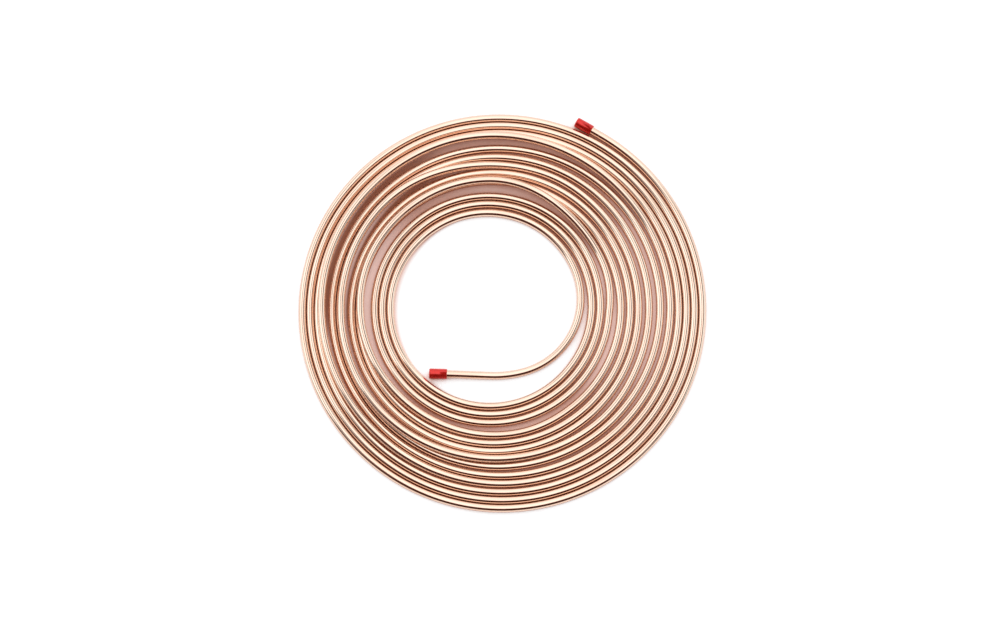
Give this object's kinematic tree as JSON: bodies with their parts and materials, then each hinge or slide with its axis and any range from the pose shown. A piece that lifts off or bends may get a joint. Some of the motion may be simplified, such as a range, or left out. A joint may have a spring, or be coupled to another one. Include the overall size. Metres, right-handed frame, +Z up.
{
  "type": "copper tube coil",
  "caption": "Flat pancake coil of soft copper tube wound in one layer, with a push-on plastic cap on each tube end and an open bore.",
  "frame": {"origin": "centre of the coil's box on the surface it lies on", "axes": "+Z up out of the flat coil, +X along the long side of its box, with the outer end at +X and +Y"},
  "size_m": [0.5076, 0.503, 0.0201],
  "materials": {
    "copper": "bright drawn copper",
    "cap_plastic": "red, semi-gloss"
  },
  "bodies": {
    "root": {"copper_tube": "copper", "inner_end_cap": "cap_plastic", "outer_end_cap": "cap_plastic"}
  },
  "joints": []
}
